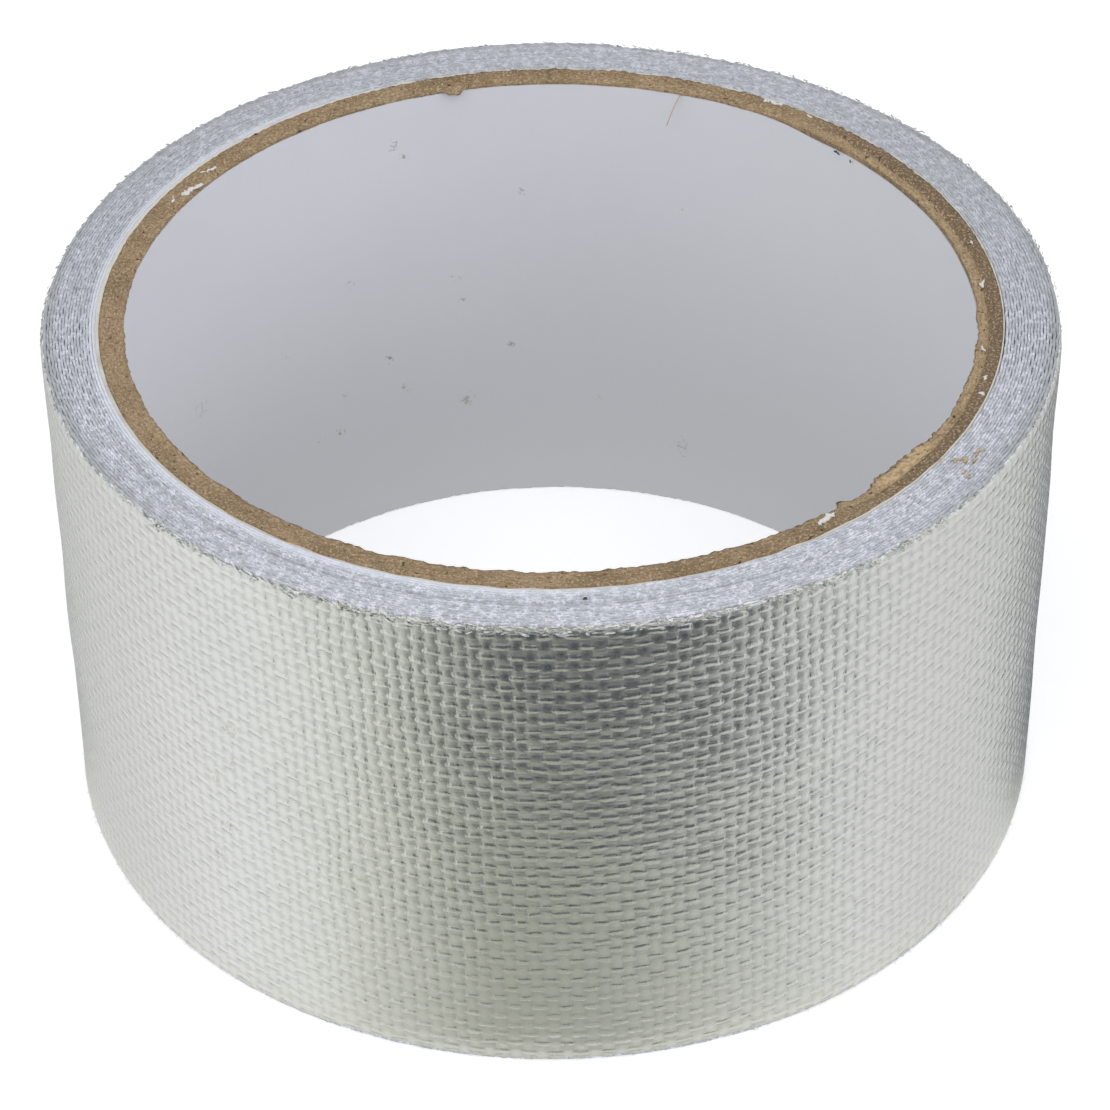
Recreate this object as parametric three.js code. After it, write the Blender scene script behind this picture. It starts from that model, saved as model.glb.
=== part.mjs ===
// A roll of foil-faced glass-cloth heat wrap on a paperboard tube, standing on its end.
// Millimetres, +Z up. The origin is the middle of the lower end.

import * as THREE from 'three';

// Driving dimensions
const WRAP_WIDTH = 50;           // width of the wrap, and so the height of the roll
const TUBE_BORE = 76.8;          // bore diameter of the paperboard tube
const TUBE_WALL = 2.2;           // wall of the tube, its white lining ply included
const TURNS = 18;                // turns of wrap that show on each end
const TURN_THICKNESS = 0.27;     // foil, cloth, adhesive and liner together
const SEATING_SLACK = 0.3;       // between the tube and the first turn

// Small features
const GROOVE_DEPTH = 0.16;       // how far the line between two turns lies below their edges
const FOIL_EDGE_WEAR = 0.45;     // how far down the outer turn's edge is worn round
const TUBE_EDGE_BREAK = 0.18;    // the cut edges of the tube are slightly crushed
const LINING_THICKNESS = 0.45;   // the tube's white ply, with a fine line between it and the kraft
const PLY_LINE_WIDTH = 0.24;
const PLY_LINE_DEPTH = 0.1;
const SIDES = 72;                // facets round the roll
const WEAR_STEPS = 3;            // facets across the worn edge

// Radii and heights worked out from them
const tubeInner = TUBE_BORE / 2;
const tubeOuter = tubeInner + TUBE_WALL;
const wrapInner = tubeOuter + SEATING_SLACK;
const wrapOuter = wrapInner + TURNS * TURN_THICKNESS;
const halfTurn = TURN_THICKNESS / 2;
const halfHeight = WRAP_WIDTH / 2;

// An end profile is a list of [radius, drop below the end face] pairs, from the outside in.
function wrapEndProfile() {
  const points = [];
  for (let step = 0; step <= WEAR_STEPS; step += 1) {
    const angle = (step / WEAR_STEPS) * (Math.PI / 2);
    const inset = halfTurn * (1 - Math.cos(angle));
    const drop = FOIL_EDGE_WEAR * (1 - Math.sin(angle));
    points.push([wrapOuter - inset, drop]);
  }
  for (let turn = TURNS - 1; turn >= 1; turn -= 1) {
    const line = wrapInner + turn * TURN_THICKNESS;
    points.push([line, GROOVE_DEPTH]);
    points.push([line - halfTurn, 0]);
  }
  points.push([wrapInner, GROOVE_DEPTH]);
  return points;
}

function tubeEndProfile() {
  const plyLine = tubeInner + LINING_THICKNESS;
  return [
    [tubeOuter, TUBE_EDGE_BREAK],
    [tubeOuter - TUBE_EDGE_BREAK, 0],
    [plyLine + PLY_LINE_WIDTH / 2, 0],
    [plyLine, PLY_LINE_DEPTH],
    [plyLine - PLY_LINE_WIDTH / 2, 0],
    [tubeInner + TUBE_EDGE_BREAK, 0],
    [tubeInner, TUBE_EDGE_BREAK],
  ];
}

// Turns an end profile, mirrored to the other end, into a closed ring that stands on z = 0.
function turnedRing(endProfile) {
  const upper = endProfile.map(([radius, drop]) => new THREE.Vector2(radius, halfHeight - drop));
  const lower = endProfile.map(([radius, drop]) => new THREE.Vector2(radius, drop - halfHeight));
  const outline = [...upper, ...lower.reverse()];
  outline.push(outline[0].clone());
  const ring = new THREE.LatheGeometry(outline, SIDES);
  ring.rotateX(Math.PI / 2);
  ring.translate(0, 0, halfHeight);
  return ring;
}

function makePiece(name, endProfile, material) {
  const piece = new THREE.Mesh(turnedRing(endProfile), material);
  piece.name = name;
  return piece;
}

const kraftBoard = new THREE.MeshStandardMaterial({ color: 0x96784f, roughness: 0.95, metalness: 0 });
const foilFace = new THREE.MeshStandardMaterial({ color: 0xc9cbc9, roughness: 0.38, metalness: 0.9 });

const roll = new THREE.Group();
roll.add(makePiece('cardboard_core', tubeEndProfile(), kraftBoard));
roll.add(makePiece('wrap_roll', wrapEndProfile(), foilFace));

export default roll;
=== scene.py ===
import math
import random

import bpy
import numpy as np
from mathutils import Matrix, Vector


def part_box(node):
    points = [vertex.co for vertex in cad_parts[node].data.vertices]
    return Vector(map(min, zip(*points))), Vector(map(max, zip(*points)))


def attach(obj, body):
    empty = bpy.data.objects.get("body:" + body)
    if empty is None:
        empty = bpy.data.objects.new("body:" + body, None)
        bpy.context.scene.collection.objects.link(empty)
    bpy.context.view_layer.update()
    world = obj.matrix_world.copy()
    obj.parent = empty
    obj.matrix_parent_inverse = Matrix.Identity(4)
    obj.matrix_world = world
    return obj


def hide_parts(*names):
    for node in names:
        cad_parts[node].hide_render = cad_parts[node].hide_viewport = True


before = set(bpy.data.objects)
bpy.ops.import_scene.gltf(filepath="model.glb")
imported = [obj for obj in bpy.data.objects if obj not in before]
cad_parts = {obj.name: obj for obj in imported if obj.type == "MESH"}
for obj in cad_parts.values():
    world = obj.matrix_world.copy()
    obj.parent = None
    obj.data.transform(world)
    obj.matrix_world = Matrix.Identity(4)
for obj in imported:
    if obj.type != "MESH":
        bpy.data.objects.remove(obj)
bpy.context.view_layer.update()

# A roll of foil-faced glass-cloth heat wrap on a paperboard tube, standing on its end on a pale floor.
# Metres, +Z up. An azimuth is measured from the front, -Y, and grows towards +X.

MM = 0.001
TAU = 2 * math.pi

# Sizes that come from the frame
tube_low, tube_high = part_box("cardboard_core")
wrap_low, wrap_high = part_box("wrap_roll")
ROLL_RADIUS = (wrap_high.x - wrap_low.x) / 2
ROLL_HEIGHT = wrap_high.z
TUBE_OUTER = (tube_high.x - tube_low.x) / 2

# Driving dimensions of the tube and the wrap
TUBE_WALL = 2.2 * MM
LINING = 0.12 * MM               # thickness of the white paper on the bore side
INNER_PLY = 0.85 * MM            # the kraft ply next to the lining, which has come loose on the right
RIM_DEPTH = 0.5 * MM             # how far the rim's ragged edge reaches down the bore
TURNS = 18
TURN_PITCH = 0.27 * MM
BAND_THICKNESS = 0.245 * MM      # foil and cloth alone, so that a dark line is left between two turns
COLUMNS = 246                    # cross yarns in one turn
ROWS = 44                        # lengthwise yarns in the width
ROW_PITCH = 1.11 * MM
YARN_STEPS = 3                   # facets across one yarn
STEPS_PER_TURN = 720
TAIL_AZIMUTH = math.radians(172)
CROSS_YARN_LEAN = math.radians(2.2)
SUNK_TURN = 6.6                  # counted from the tube, the turn that lies a little lower at the front
TUBE_STEPS = 900                 # facets round the kraft board
PAPER_STEPS = 480                # facets round the lining and the liner

COLUMN_PITCH = TAU * ROLL_RADIUS / COLUMNS
EDGE_MARGIN = (ROLL_HEIGHT - ROWS * ROW_PITCH) / 2
TUBE_INNER = TUBE_OUTER - TUBE_WALL
TAIL_RADIUS = ROLL_RADIUS + 0.5 * TURN_PITCH


# Small tools for meshes

def places(piece):
    """The places of the piece's vertices, one row each."""
    found = np.empty(len(piece.data.vertices) * 3)
    piece.data.vertices.foreach_get("co", found)
    return found.reshape(-1, 3)


def put(piece, where):
    piece.data.vertices.foreach_set("co", where.ravel())
    piece.data.update()


def on_cylinder(azimuth, radius, height):
    """Places at an azimuth, a radius and a height, as rows."""
    return np.stack([radius * np.sin(azimuth), -radius * np.cos(azimuth), height], axis=-1)


def cylinder_terms(where):
    """Azimuth, radius and height of each place."""
    return np.arctan2(where[:, 0], -where[:, 1]), np.hypot(where[:, 0], where[:, 1]), where[:, 2]


def drift(across, up, seed, period_across, period_up, waves=7):
    """A smooth uneven wave over a surface, mostly between -1 and 1."""
    rng = random.Random(seed)
    total = np.zeros(np.shape(across))
    for _ in range(waves):
        along = TAU / (period_across * rng.uniform(0.55, 1.8)) * rng.choice((-1, 1))
        rising = TAU / (period_up * rng.uniform(0.55, 1.8))
        total += np.sin(along * across + rising * up + rng.uniform(0, TAU))
    return total / math.sqrt(waves)


def window(azimuth, start, end, soft):
    """1 between two azimuths given in degrees, falling softly to 0 outside them."""
    turned = np.degrees(azimuth)
    rise = np.clip((turned - start) / soft + 0.5, 0, 1)
    fall = np.clip((end - turned) / soft + 0.5, 0, 1)
    mask = np.minimum(rise, fall)
    return mask * mask * (3 - 2 * mask)


def bulge(azimuth):
    """How far the roll stands out of round, on its right."""
    turned = np.remainder(azimuth + math.pi, TAU) - math.pi
    return 0.15 * MM * window(turned, 50, 130, 60)


def choose(*pieces):
    """Makes these pieces the only selected ones, and the first of them the active one."""
    bpy.ops.object.select_all(action="DESELECT")
    for piece in pieces:
        piece.select_set(True)
    bpy.context.view_layer.objects.active = pieces[0]


def edit(piece, chosen=None):
    """Opens the piece in edit mode with only the chosen vertices selected, or else all of them."""
    choose(piece)
    mesh = piece.data
    if chosen is None:
        chosen = np.ones(len(mesh.vertices), bool)
    mesh.edges.foreach_set("select", np.zeros(len(mesh.edges), bool))
    mesh.polygons.foreach_set("select", np.zeros(len(mesh.polygons), bool))
    mesh.vertices.foreach_set("select", np.asarray(chosen, bool))
    bpy.context.tool_settings.mesh_select_mode = (True, False, False)
    bpy.ops.object.mode_set(mode="EDIT")


def close_edit():
    bpy.ops.object.mode_set(mode="OBJECT")


def sheet(columns, rows, middle, size, upright=False):
    """A flat sheet of columns by rows quads at its real size and place, lying flat or standing along X."""
    bpy.ops.object.select_all(action="DESELECT")
    bpy.ops.mesh.primitive_grid_add(
        x_subdivisions=columns, y_subdivisions=rows, size=1, location=middle,
        rotation=(math.pi / 2 if upright else 0, 0, 0))
    piece = bpy.context.object
    piece.scale = (*size, 1)
    bpy.ops.object.transform_apply(location=True, rotation=True, scale=True)
    return piece


def repeat(piece, step, count):
    """Copies the piece along a step and welds the copies."""
    array = piece.modifiers.new("repeat", "ARRAY")
    array.use_relative_offset = False
    array.use_constant_offset = True
    array.constant_offset_displace = step
    array.count = count
    array.use_merge_vertices = True
    array.merge_threshold = 0.02 * MM
    bpy.context.view_layer.objects.active = piece
    bpy.ops.object.modifier_apply(modifier=array.name)


def finish(piece, name, slot, *materials, smooth_angle=None, stands_for=None):
    """Names a piece, gives it its finish, and ties it to the frame."""
    piece.name = name
    piece.data.name = name
    for material in materials:
        piece.data.materials.append(material)
    choose(piece)
    if smooth_angle is None:
        bpy.ops.object.shade_smooth()
    else:
        bpy.ops.object.shade_smooth_by_angle(angle=math.radians(smooth_angle))
    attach(piece, "root")
    if stands_for:
        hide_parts(stands_for)
    return piece


def joined(pieces):
    """Joins several pieces into the first."""
    choose(*pieces)
    bpy.ops.object.join()
    return pieces[0]


# Small tools for materials

def socket_or_value(tree, target, value):
    if isinstance(value, bpy.types.NodeSocket):
        tree.links.new(value, target)
    else:
        target.default_value = value


def maths(tree, operation, *values):
    node = tree.nodes.new("ShaderNodeMath")
    node.operation = operation
    for target, value in zip(node.inputs, values):
        socket_or_value(tree, target, value)
    return node.outputs[0]


def plus(tree, first, second):
    return maths(tree, "ADD", first, second)


def minus(tree, first, second):
    return maths(tree, "SUBTRACT", first, second)


def times(tree, first, second):
    return maths(tree, "MULTIPLY", first, second)


def larger(tree, first, second):
    return maths(tree, "MAXIMUM", first, second)


def parts_of(tree, vector):
    """The three numbers of a vector."""
    node = tree.nodes.new("ShaderNodeSeparateXYZ")
    tree.links.new(vector, node.inputs[0])
    return node.outputs[0], node.outputs[1], node.outputs[2]


def flat_vector(tree, first, second):
    """A vector of two numbers, its third being zero."""
    node = tree.nodes.new("ShaderNodeCombineXYZ")
    tree.links.new(first, node.inputs[0])
    tree.links.new(second, node.inputs[1])
    return node.outputs[0]


def distance_to(tree, vector, point):
    node = tree.nodes.new("ShaderNodeVectorMath")
    node.operation = "DISTANCE"
    tree.links.new(vector, node.inputs[0])
    socket_or_value(tree, node.inputs[1], point)
    return node.outputs["Value"]


def round_axis(tree, where):
    """A place's azimuth and its distance from the roll's axis."""
    x, y, _ = parts_of(tree, where)
    azimuth = maths(tree, "ARCTAN2", x, times(tree, y, -1.0))
    squared = plus(tree, times(tree, x, x), times(tree, y, y))
    return azimuth, maths(tree, "SQRT", squared)


def between(tree, value, low, high, to_low=0.0, to_high=1.0):
    """Maps low..high smoothly to to_low..to_high, clamped."""
    node = tree.nodes.new("ShaderNodeMapRange")
    node.interpolation_type = "SMOOTHSTEP"
    for target, given in zip(node.inputs, (value, low, high, to_low, to_high)):
        socket_or_value(tree, target, given)
    return node.outputs[0]


def mixed(tree, share, first, second):
    """Mixes two colours."""
    node = tree.nodes.new("ShaderNodeMix")
    node.data_type = "RGBA"
    socket_or_value(tree, node.inputs["Factor"], share)
    for name, value in (("A", first), ("B", second)):
        target = next(s for s in node.inputs if s.name == name and s.type == "RGBA")
        socket_or_value(tree, target, (*value, 1) if isinstance(value, tuple) else value)
    return next(s for s in node.outputs if s.type == "RGBA")


def noise(tree, vector, scale, detail=3.0, roughness=0.55, stretch=None, turn=0.0, distortion=0.0):
    """Noise from 0 to 1. The vector is turned in its plane and then scaled by stretch first."""
    if stretch:
        node = tree.nodes.new("ShaderNodeMapping")
        node.vector_type = "TEXTURE"
        node.inputs["Rotation"].default_value = (0, 0, turn)
        node.inputs["Scale"].default_value = tuple(1 / factor for factor in stretch)
        tree.links.new(vector, node.inputs["Vector"])
        vector = node.outputs[0]
    node = tree.nodes.new("ShaderNodeTexNoise")
    tree.links.new(vector, node.inputs["Vector"])
    for name, value in (("Scale", scale), ("Detail", detail), ("Roughness", roughness)):
        node.inputs[name].default_value = value
    node.inputs["Distortion"].default_value = distortion
    return node.outputs[0]


def ramp(tree, value, stops):
    """A colour ramp with stops of (position, colour)."""
    node = tree.nodes.new("ShaderNodeValToRGB")
    bands = node.color_ramp
    for number, (position, colour) in enumerate(stops):
        band = bands.elements[number] if number < 2 else bands.elements.new(position)
        band.position = position
        band.color = (*colour, 1)
    tree.links.new(value, node.inputs[0])
    return node.outputs[0]


def bumped(tree, height, distance, strength=1.0, below=None):
    """A normal from a height of 0 to 1 that stands for this distance in metres."""
    node = tree.nodes.new("ShaderNodeBump")
    node.inputs["Strength"].default_value = strength
    node.inputs["Distance"].default_value = distance
    tree.links.new(height, node.inputs["Height"])
    if below:
        tree.links.new(below, node.inputs["Normal"])
    return node.outputs[0]


def start_material(name):
    """A material with a Principled shader; returns it with its tree, shader and object coordinates."""
    material = bpy.data.materials.new(name)
    material.use_nodes = True
    tree = material.node_tree
    shader = tree.nodes["Principled BSDF"]
    coordinates = tree.nodes.new("ShaderNodeTexCoord")
    return material, tree, shader, coordinates.outputs["Object"]


def connect(tree, shader, colour, normal, roughness):
    tree.links.new(colour, shader.inputs["Base Color"])
    tree.links.new(normal, shader.inputs["Normal"])
    socket_or_value(tree, shader.inputs["Roughness"], roughness)


def start_group(name, inputs, outputs):
    """An empty node group with float and vector sockets."""
    tree = bpy.data.node_groups.new(name, "ShaderNodeTree")
    for label, value in inputs.items():
        kind = "NodeSocketVector" if value is None else "NodeSocketFloat"
        socket = tree.interface.new_socket(label, in_out="INPUT", socket_type=kind)
        if value is not None:
            socket.default_value = value
    for label in outputs:
        tree.interface.new_socket(label, in_out="OUTPUT", socket_type="NodeSocketFloat")
    given = tree.nodes.new("NodeGroupInput").outputs
    wanted = tree.nodes.new("NodeGroupOutput").inputs
    return tree, given, wanted


def placed_group(tree, group, vector, **values):
    node = tree.nodes.new("ShaderNodeGroup")
    node.node_tree = group
    tree.links.new(vector, node.inputs["Vector"])
    for label, value in values.items():
        node.inputs[label].default_value = value
    return node.outputs


# Effects that several materials use

def plain_weave_group():
    """Relief of a plain weave under foil; the vector counts yarns, one to a unit each way."""
    inputs = {"Vector": None, "Unevenness": 0.35}
    tree, given, wanted = start_group("plain_weave", inputs, ["Height", "Gap"])
    counted = parts_of(tree, given["Vector"])[:2]
    column, row = (maths(tree, "FLOOR", count) for count in counted)
    across, up = (minus(tree, maths(tree, "FRACT", count), 0.5) for count in counted)
    odd = maths(tree, "FLOORED_MODULO", plus(tree, column, row), 2.0)
    cross_yarn_over = minus(tree, 1.0, times(tree, odd, 2.0))
    long_yarn_over = times(tree, cross_yarn_over, -1.0)
    chance = tree.nodes.new("ShaderNodeTexWhiteNoise")
    tree.links.new(flat_vector(tree, column, row), chance.inputs["Vector"])
    chances = tree.nodes.new("ShaderNodeSeparateColor")
    tree.links.new(chance.outputs["Color"], chances.inputs[0])
    lift, tilt = (minus(tree, chances.outputs[number], 0.5) for number in (0, 1))

    def yarn(sideways, lengthwise, over, narrowness, roundness, level, dip):
        """One set of yarns: a round section that runs level over or under the other yarn at a crossing."""
        edge = times(tree, sideways, narrowness)
        inside = larger(tree, minus(tree, 1.0, times(tree, edge, edge)), 0.0)
        section = times(tree, inside, roundness)
        run = between(tree, maths(tree, "ABSOLUTE", lengthwise), 0.24, 0.5, dip, 0.0)
        return plus(tree, plus(tree, section, times(tree, run, over)), level)

    cross_yarn = yarn(across, up, cross_yarn_over, narrowness=2.05, roundness=0.5, level=0.0, dip=0.18)
    long_yarn = yarn(up, across, long_yarn_over, narrowness=2.9, roundness=1.3, level=-0.5, dip=0.45)
    top = maths(tree, "SMOOTH_MAX", cross_yarn, long_yarn, 0.3)
    lifted = plus(tree, top, times(tree, times(tree, lift, given["Unevenness"]), top))
    inner = between(tree, maths(tree, "ABSOLUTE", up), 0.3, 0.5, 1.0, 0.0)
    slope = times(tree, tilt, times(tree, up, inner))
    height = plus(tree, lifted, times(tree, slope, times(tree, given["Unevenness"], 3.0)))
    tree.links.new(height, wanted["Height"])
    # Gap is 1 where the weave lies low; the foil's colour is darkened with it there as painted shade.
    tree.links.new(between(tree, top, 0.2, 0.75, 1.0, 0.0), wanted["Gap"])
    return tree


def polar_group():
    """Millimetres round the roll's middle radius, and from its axis, from object coordinates."""
    tree, given, wanted = start_group("round_the_roll", {"Vector": None}, ["Around", "From axis"])
    azimuth, from_axis = round_axis(tree, given["Vector"])
    tree.links.new(times(tree, azimuth, (ROLL_RADIUS + TUBE_OUTER) / 2 / MM), wanted["Around"])
    tree.links.new(maths(tree, "DIVIDE", from_axis, MM), wanted["From axis"])
    return tree


def stain_group():
    """A cluster of small ragged marks round a centre, thinning out to its size, in the vector's units."""
    inputs = {"Vector": None, "Centre": None, "Size": 1.0}
    tree, given, wanted = start_group("ragged_stain", inputs, ["Mask"])
    marks = noise(tree, given["Vector"], 1.9, detail=5, roughness=0.62, distortion=0.8)
    apart = distance_to(tree, given["Vector"], given["Centre"])
    share = maths(tree, "DIVIDE", apart, given["Size"])
    threshold = plus(tree, times(tree, share, 0.20), 0.47)
    tree.links.new(between(tree, minus(tree, marks, threshold), 0.0, 0.07), wanted["Mask"])
    return tree


WEAVE = plain_weave_group()
STAIN = stain_group()
POLAR = polar_group()


def round_the_roll(tree, where):
    """A vector of the millimetres round the roll and from its axis."""
    polar = placed_group(tree, POLAR, where)
    return flat_vector(tree, polar["Around"], polar["From axis"])


def stains(tree, vector, spots):
    """The strongest mask of several stains, each given as (across, up, size, strength)."""
    total = None
    for across, up, size, strength in spots:
        spot = placed_group(tree, STAIN, vector, Size=size, Centre=(across, up, 0))
        mask = times(tree, spot["Mask"], strength)
        total = mask if total is None else larger(tree, total, mask)
    return total


# Finishes
# Stains are listed as (across, up, size, strength), across from the foil's front or the bore's back
FOIL_SMUDGES = (
    (-30.5, 31.0, 2.2, 0.5), (-30.0, 27.0, 1.6, 0.4), (-32.0, 24.5, 1.8, 0.45),
    (-31.0, 20.0, 1.9, 0.5), (-32.5, 15.5, 2.0, 0.4), (53.0, 43.5, 3.4, 0.5),
)
BORE_STAINS = (
    (-15.6, 44.6, 1.3, 0.55), (-14.6, 43.2, 0.8, 0.5), (-2.8, 37.2, 0.8, 0.5), (13.4, 36.4, 0.5, 0.3),
    (-9.6, 27.6, 0.9, 0.5), (-9.0, 24.8, 0.9, 0.5), (-16.9, 19.6, 0.9, 0.75), (-22.3, 16.9, 0.8, 0.6),
    (-23.0, 12.6, 1.1, 0.7), (-25.4, 12.4, 0.9, 0.7), (-15.3, 15.8, 1.4, 0.5), (-4.1, 18.6, 1.1, 0.65),
    (-8.8, 12.4, 1.6, 0.5), (14.0, 7.0, 1.6, 0.6), (-29.0, 24.8, 0.9, 0.4), (-21.0, 30.0, 1.1, 0.25),
    (-42.0, 26.0, 2.2, 0.25), (5.0, 12.0, 1.0, 0.3),
)
OLIVE_SMEAR = (53.0, 42.0, 0.0)   # the middle of a faint smear, across and up the foil in mm
FUZZ_LEAN = math.radians(22)      # the broken filaments on the cut edges lie this far off the turns


def wandering(tree, vector, scale, amount):
    """The vector, pushed about in its plane by up to half the amount each way."""
    pushed = []
    for place, stretch in zip(parts_of(tree, vector), ((1.0, 0.7, 1.0), (0.6, 1.1, 1.0))):
        push = minus(tree, noise(tree, vector, scale, detail=2, stretch=stretch), 0.5)
        pushed.append(maths(tree, "MULTIPLY_ADD", push, amount, place))
    return flat_vector(tree, *pushed)


def uv_vector(tree, name):
    node = tree.nodes.new("ShaderNodeUVMap")
    node.uv_map = name
    return node.outputs[0]


def foil_finish():
    """Bright aluminium foil pressed into the cloth."""
    material, tree, shader, where = start_material("pressed_aluminium_foil")
    weave_vector = wandering(tree, uv_vector(tree, "yarns"), 0.9, 0.55)
    face_vector = uv_vector(tree, "face_mm")
    weave = placed_group(tree, WEAVE, weave_vector, Unevenness=0.4)
    crinkle = noise(tree, where, 1700, detail=5, roughness=0.7)
    dents = noise(tree, where, 110, roughness=0.5)
    cloudy = noise(tree, where, 60, detail=4, roughness=0.6)
    normal = bumped(tree, dents, 0.5 * MM, 0.5)
    normal = bumped(tree, weave["Height"], 0.075 * MM, 1.0, below=normal)
    normal = bumped(tree, crinkle, 0.06 * MM, 0.6, below=normal)
    bright = mixed(tree, cloudy, (0.80, 0.81, 0.80), (0.88, 0.885, 0.875))
    # Darker in the low gaps between the yarns: painted shade.
    shaded = mixed(tree, times(tree, weave["Gap"], 0.16), bright, (0.34, 0.35, 0.34))
    smudged = mixed(tree, stains(tree, face_vector, FOIL_SMUDGES), shaded, (0.52, 0.47, 0.36))
    near_smear = between(tree, distance_to(tree, face_vector, OLIVE_SMEAR), 1.0, 5.5, 0.5, 0.0)
    smear = times(tree, near_smear, between(tree, cloudy, 0.35, 0.6))
    smeared = mixed(tree, smear, smudged, (0.55, 0.54, 0.40))
    crinkled = between(tree, crinkle, 0.3, 0.7, 0.22, 0.34)
    roughness = plus(tree, crinkled, times(tree, weave["Gap"], 0.15))
    connect(tree, shader, smeared, normal, roughness)
    shader.inputs["Metallic"].default_value = 1.0
    return material


def cloth_edge_finish():
    """The cut edges of the glass cloth: bluish white dashes with grey between them, and painted shade
    between the turns, on the sunk turn and away from the front.
    """
    material, tree, shader, where = start_material("cut_glass_cloth")
    edge_vector = uv_vector(tree, "edge_mm")
    ring_vector = round_the_roll(tree, where)
    inner, evenness, _ = parts_of(tree, uv_vector(tree, "inner_and_even"))
    around, from_axis, _ = parts_of(tree, ring_vector)
    dashes = noise(tree, edge_vector, 1.0, roughness=0.6, stretch=(1.6, 4.0, 1.0))
    fuzz = noise(tree, ring_vector, 1.0, roughness=0.65, stretch=(2.2, 6.5, 1.0), turn=FUZZ_LEAN)
    counter_fuzz = noise(tree, ring_vector, 1.0, roughness=0.65, stretch=(2.4, 7.0, 1.0), turn=-FUZZ_LEAN)
    patches = noise(tree, where, 90)
    mottle = noise(tree, where, 1100, detail=4, roughness=0.7)
    light = mixed(tree, patches, (0.68, 0.70, 0.76), (0.80, 0.81, 0.90))
    dashed = mixed(tree, between(tree, dashes, 0.34, 0.56), (0.46, 0.47, 0.51), light)
    dim = mixed(tree, between(tree, counter_fuzz, 0.36, 0.54, 0.7, 0.0), dashed, (0.33, 0.35, 0.38))
    fuzzy = mixed(tree, between(tree, fuzz, 0.48, 0.62, 0.0, 0.85), dim, (0.86, 0.87, 0.95))
    mottled = mixed(tree, between(tree, mottle, 0.43, 0.59, 0.6, 0.0), fuzzy, (0.36, 0.38, 0.40))
    # Greyer on the inner side of each turn's top, on the sunk turn, near the outer face off the front, and
    # towards the sides and back: all painted shade.
    off_front = maths(tree, "ABSOLUTE", around)
    near_face = between(tree, from_axis, ROLL_RADIUS / MM - 1.9, ROLL_RADIUS / MM - 0.4, 0.0, 0.6)
    side_shade = times(tree, near_face, between(tree, off_front, 18.0, 48.0))
    greyer = times(tree, between(tree, inner, 0.0, 0.7), 0.22)
    for share in (times(tree, evenness, -0.55), side_shade, between(tree, off_front, 45.0, 90.0, 0.0, 0.32)):
        greyer = larger(tree, greyer, share)
    greyed = mixed(tree, greyer, mottled, (0.30, 0.315, 0.315))
    smooth = mixed(tree, times(tree, evenness, 0.65), greyed, (0.74, 0.76, 0.83))
    connect(tree, shader, smooth, bumped(tree, fuzz, 0.12 * MM, 0.8), 0.7)
    return material


def kraft_finish():
    """Cut kraft board. The loose inner ply is lighter than the others, and torn places are lighter still."""
    material, tree, shader, where = start_material("cut_kraft_board")
    ring_vector = uv_vector(tree, "ring_mm")
    _, depth, _ = parts_of(tree, ring_vector)
    loose, torn, _ = parts_of(tree, uv_vector(tree, "loose_and_torn"))
    fibres = noise(tree, ring_vector, 1.0, detail=5, roughness=0.7, stretch=(1.3, 5.4, 1.0))
    grain = noise(tree, where, 4200, roughness=0.6)
    pits = noise(tree, where, 1900, detail=2, roughness=0.5)
    clouds = noise(tree, where, 170, detail=4, roughness=0.6)
    body = mixed(tree, between(tree, clouds, 0.3, 0.7), (0.24, 0.165, 0.093), (0.40, 0.285, 0.172))
    dark_body = mixed(tree, loose, body, (0.185, 0.130, 0.078))
    ply_place = plus(tree, depth, times(tree, minus(tree, clouds, 0.5), 0.8))
    inner_ply = between(tree, ply_place, INNER_PLY / MM - 0.07, INNER_PLY / MM + 0.1, 1.0, 0.0)
    lighter = times(tree, inner_ply, plus(tree, times(tree, loose, 0.6), 0.12))
    plies = mixed(tree, lighter, dark_body, (0.50, 0.36, 0.21))
    torn_open = mixed(tree, torn, plies, (0.62, 0.45, 0.25))
    fibrous = mixed(tree, between(tree, fibres, 0.38, 0.56, 0.6, 0.0), torn_open, (0.13, 0.085, 0.045))
    speckled = mixed(tree, between(tree, grain, 0.50, 0.64, 0.0, 0.65), fibrous, (0.58, 0.45, 0.29))
    # Near-black specks where the board has pits: painted shade.
    pit_shaded = mixed(tree, between(tree, pits, 0.66, 0.71, 0.0, 0.85), speckled, (0.04, 0.028, 0.018))
    height = plus(tree, fibres, times(tree, grain, 0.5))
    connect(tree, shader, pit_shaded, bumped(tree, height, 0.16 * MM, 0.9), 0.93)
    return material


def lining_finish():
    """Smooth white paper with small grey-brown stains, and painted shade lower down the bore and on its
    right.
    """
    material, tree, shader, where = start_material("white_lining_paper")
    wall_vector = uv_vector(tree, "wall_mm")
    around, height, _ = parts_of(tree, wall_vector)
    pulp = noise(tree, where, 1400)
    clouds = noise(tree, where, 45)
    paper = mixed(tree, clouds, (0.70, 0.70, 0.745), (0.75, 0.75, 0.79))
    # Greyer lower down the bore and on its right side: painted shade.
    greyed = mixed(tree, between(tree, height, 6.0, 46.0, 0.9, 0.0), paper, (0.50, 0.505, 0.52))
    towards_right = between(tree, around, -20.0, 50.0, 0.0, 0.5)
    right = times(tree, towards_right, between(tree, around, 60.0, 115.0, 1.0, 0.0))
    neutral = mixed(tree, right, greyed, (0.58, 0.59, 0.60))
    stained = mixed(tree, stains(tree, wall_vector, BORE_STAINS), neutral, (0.20, 0.18, 0.12))
    connect(tree, shader, stained, bumped(tree, pulp, 0.03 * MM, 0.5), 0.62)
    return material


def plain_fleck_finish(name, first, second, metallic=0.0, roughness=0.9):
    """Torn paper, board or foil, for chips, crumbs and flakes."""
    material, tree, shader, where = start_material(name)
    pulp = noise(tree, where, 3000, detail=4, roughness=0.65)
    connect(tree, shader, mixed(tree, pulp, first, second), bumped(tree, pulp, 0.06 * MM, 0.8), roughness)
    shader.inputs["Metallic"].default_value = metallic
    return material


# The outer turn

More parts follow.
